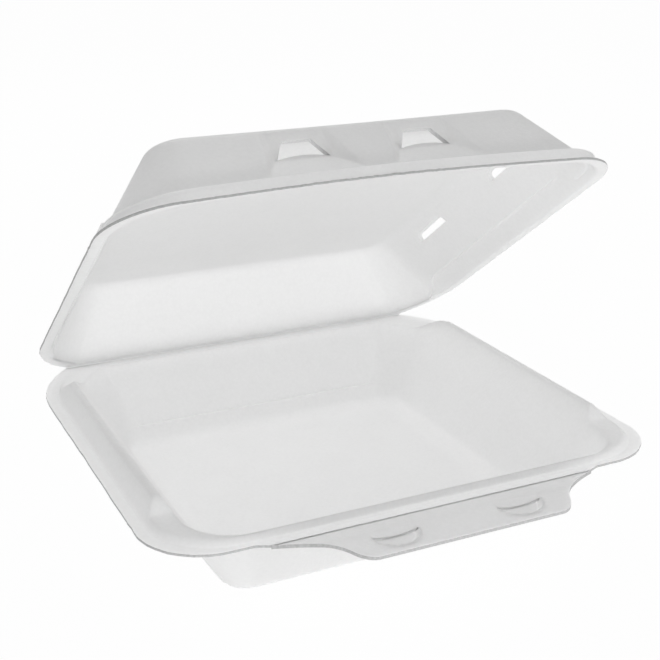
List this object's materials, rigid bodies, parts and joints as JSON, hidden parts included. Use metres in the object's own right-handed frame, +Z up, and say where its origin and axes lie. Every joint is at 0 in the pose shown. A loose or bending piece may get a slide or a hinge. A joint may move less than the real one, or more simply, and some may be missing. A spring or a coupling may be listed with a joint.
{
  "type": "foam clamshell container",
  "caption": "Hinged square foam food container with a deep tray, a vented domed lid standing open and a front lock flap with pockets that meet windows in the lid.",
  "frame": {"origin": "on the table, under the middle of the tray", "axes": "+X to the right, +Y towards the lid's hinge, +Z up"},
  "size_m": [0.23, 0.2452, 0.177],
  "materials": {
    "foam": "satin skin of expanded polystyrene foam"
  },
  "bodies": {
    "base": {"base_tray": "foam"},
    "cover": {"lid": "foam"},
    "flap": {"lock_flap": "foam"}
  },
  "joints": [
    {"name": "lid_hinge", "type": "hinge", "parent": "base", "child": "cover", "pos_m": [0, 0.1055, 0.03915], "axis": [-1, 0, 0], "range_deg": [-35, 145]},
    {"name": "flap_fold", "type": "hinge", "parent": "base", "child": "flap", "pos_m": [0, -0.108, 0.03885], "axis": [-1, 0, 0], "range_deg": [0, 98]}
  ]
}
